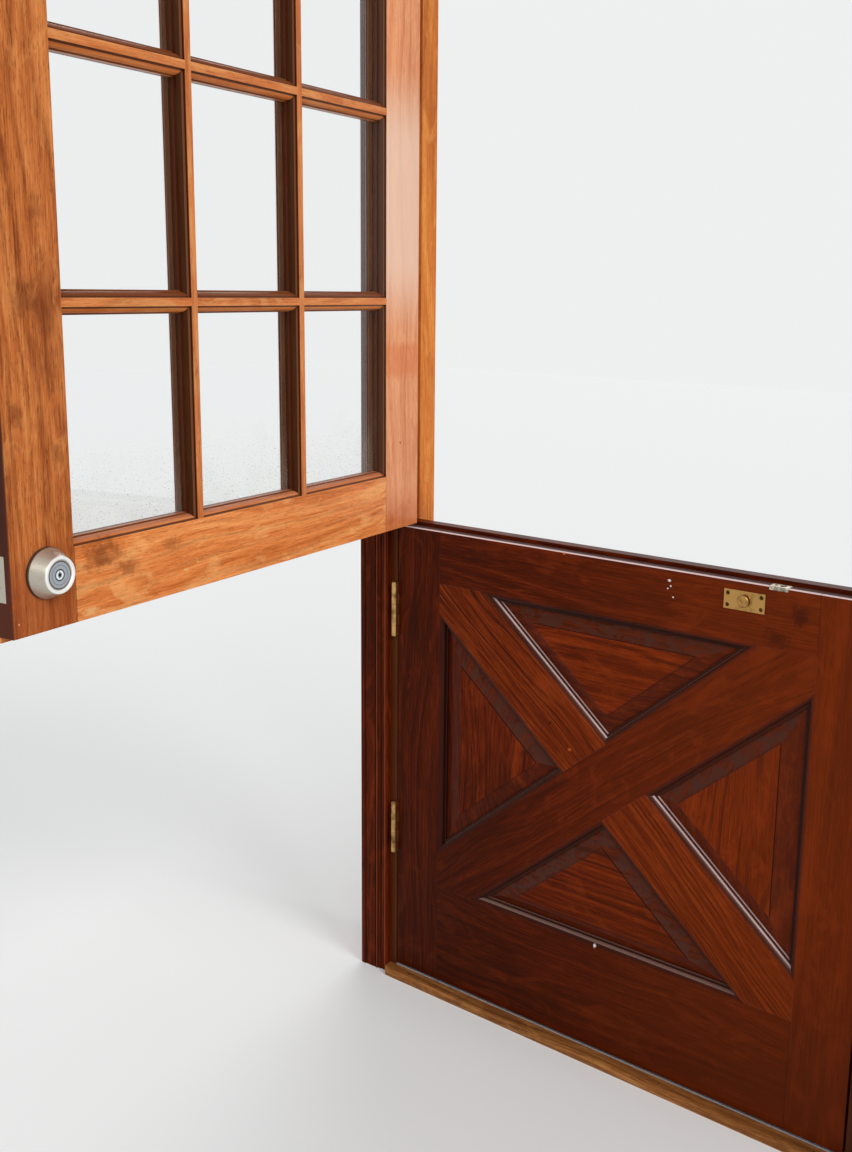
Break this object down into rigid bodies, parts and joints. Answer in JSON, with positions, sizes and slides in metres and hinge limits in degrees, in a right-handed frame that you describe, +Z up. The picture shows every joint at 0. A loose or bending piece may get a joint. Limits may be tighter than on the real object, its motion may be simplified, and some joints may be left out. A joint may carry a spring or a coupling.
{
  "type": "dutch stable door",
  "caption": "Two-leaf stable door in its frame: a glazed upper leaf with glazing bars stands open over a closed lower leaf with a cross-buck and raised triangular panels.",
  "frame": {"origin": "centre of the doorway on the underside of the threshold, in the plane of the inner faces of the closed leaves and of the casing backs", "axes": "+X from the hinge jamb to the strike jamb, +Y from the room to the outside, +Z up"},
  "size_m": [1.0784, 1.0213, 2.0985],
  "materials": {
    "mahogany": "dark red-brown, satin varnish",
    "streaked_mahogany": "orange-streaked, satin varnish",
    "panel_mahogany": "red-brown, satin varnish",
    "honey_wood": "honey-orange, glossy varnish",
    "oak": "worn varnish",
    "aluminium": "mill",
    "steel": "worn zinc",
    "glass": "clear float",
    "brass": "aged, satin",
    "satin_nickel": "satin",
    "blue_grey_metal": "brushed"
  },
  "bodies": {
    "frame": {"hinge_jamb": "honey_wood", "strike_jamb": "honey_wood", "head_jamb": "honey_wood", "hinge_casing": "mahogany", "strike_casing": "mahogany", "head_casing": "mahogany", "threshold": "oak", "threshold_strip": "aluminium", "threshold_nails": "steel", "deadbolt_strike": "satin_nickel", "strike_screws": "satin_nickel", "frame_hinge_plates": "brass", "hinge_pins": "brass", "frame_hinge_screws": "brass"},
    "lower_leaf": {"meeting_tongue": "mahogany", "lower_hinge_stile": "mahogany", "lower_lock_stile": "mahogany", "lower_top_rail": "mahogany", "lower_bottom_rail": "mahogany", "long_brace": "mahogany", "upper_short_brace": "streaked_mahogany", "lower_short_brace": "streaked_mahogany", "top_panel": "panel_mahogany", "left_panel": "panel_mahogany", "right_panel": "panel_mahogany", "bottom_panel": "panel_mahogany", "lower_hinge_plates": "brass", "lower_hinge_screws": "brass", "stud_plate": "brass", "catch_stud": "brass", "plate_screws": "brass", "bolt_keeper": "steel"},
    "upper_leaf": {"upper_hinge_stile": "honey_wood", "upper_lock_stile": "honey_wood", "upper_bottom_rail": "honey_wood", "upper_top_rail": "honey_wood", "meeting_lip": "honey_wood", "vertical_bar_left": "honey_wood", "vertical_bar_right": "honey_wood", "horizontal_bar_low": "honey_wood", "horizontal_bar_high": "honey_wood", "glazing_beads": "honey_wood", "glass_panes": "glass", "upper_hinge_plates": "brass", "upper_hinge_screws": "brass", "quadrant_plate": "brass", "fitting_screws": "brass", "flush_bolt_body": "brass", "deadbolt_collar": "satin_nickel", "inner_rose": "satin_nickel", "bolt_case": "satin_nickel", "faceplate": "satin_nickel", "faceplate_screws": "satin_nickel", "deadbolt_cylinder": "blue_grey_metal"},
    "deadbolt": {"deadbolt_bolt": "satin_nickel"},
    "inner_turn": {"thumb_turn": "satin_nickel"},
    "plug": {"key_plug": "blue_grey_metal"},
    "quadrant": {"quadrant_arm": "brass"},
    "flush_bolt": {"flush_bolt_rod": "brass"}
  },
  "joints": [
    {"name": "upper_leaf_swing", "type": "hinge", "parent": "frame", "child": "upper_leaf", "pos_m": [-0.4617, -0.007, 1.45], "axis": [0, 0, 1], "range_deg": [-68.2, 81.8]},
    {"name": "lower_leaf_swing", "type": "hinge", "parent": "frame", "child": "lower_leaf", "pos_m": [-0.4617, -0.007, 0.53], "axis": [0, 0, 1], "range_deg": [-81.8, 0]},
    {"name": "deadbolt_throw", "type": "slide", "parent": "upper_leaf", "child": "deadbolt", "axis": [0.1426, -0.9898, 0], "range_m": [0, 0.0254]},
    {"name": "inner_turn_spin", "type": "hinge", "parent": "upper_leaf", "child": "inner_turn", "pos_m": [-0.33158, -0.86087, 0.988], "axis": [0.9898, 0.1426, 0], "range_deg": [0, 90]},
    {"name": "plug_spin", "type": "hinge", "parent": "upper_leaf", "child": "plug", "pos_m": [-0.2722, -0.85231, 0.988], "axis": [0.9898, 0.1426, 0], "range_deg": [0, 90]},
    {"name": "quadrant_swing", "type": "hinge", "parent": "upper_leaf", "child": "quadrant", "pos_m": [-0.35893, -0.69912, 0.94], "axis": [-0.9898, -0.1426, 0], "range_deg": [0, 90]},
    {"name": "flush_bolt_throw", "type": "slide", "parent": "upper_leaf", "child": "flush_bolt", "axis": [0, 0, -1], "range_m": [0, 0.012]}
  ],
  "couplings": [
    {"joint": "inner_turn_spin", "follows": "deadbolt_throw", "rad_per_m": 61.8},
    {"joint": "plug_spin", "follows": "deadbolt_throw", "rad_per_m": 61.8}
  ]
}
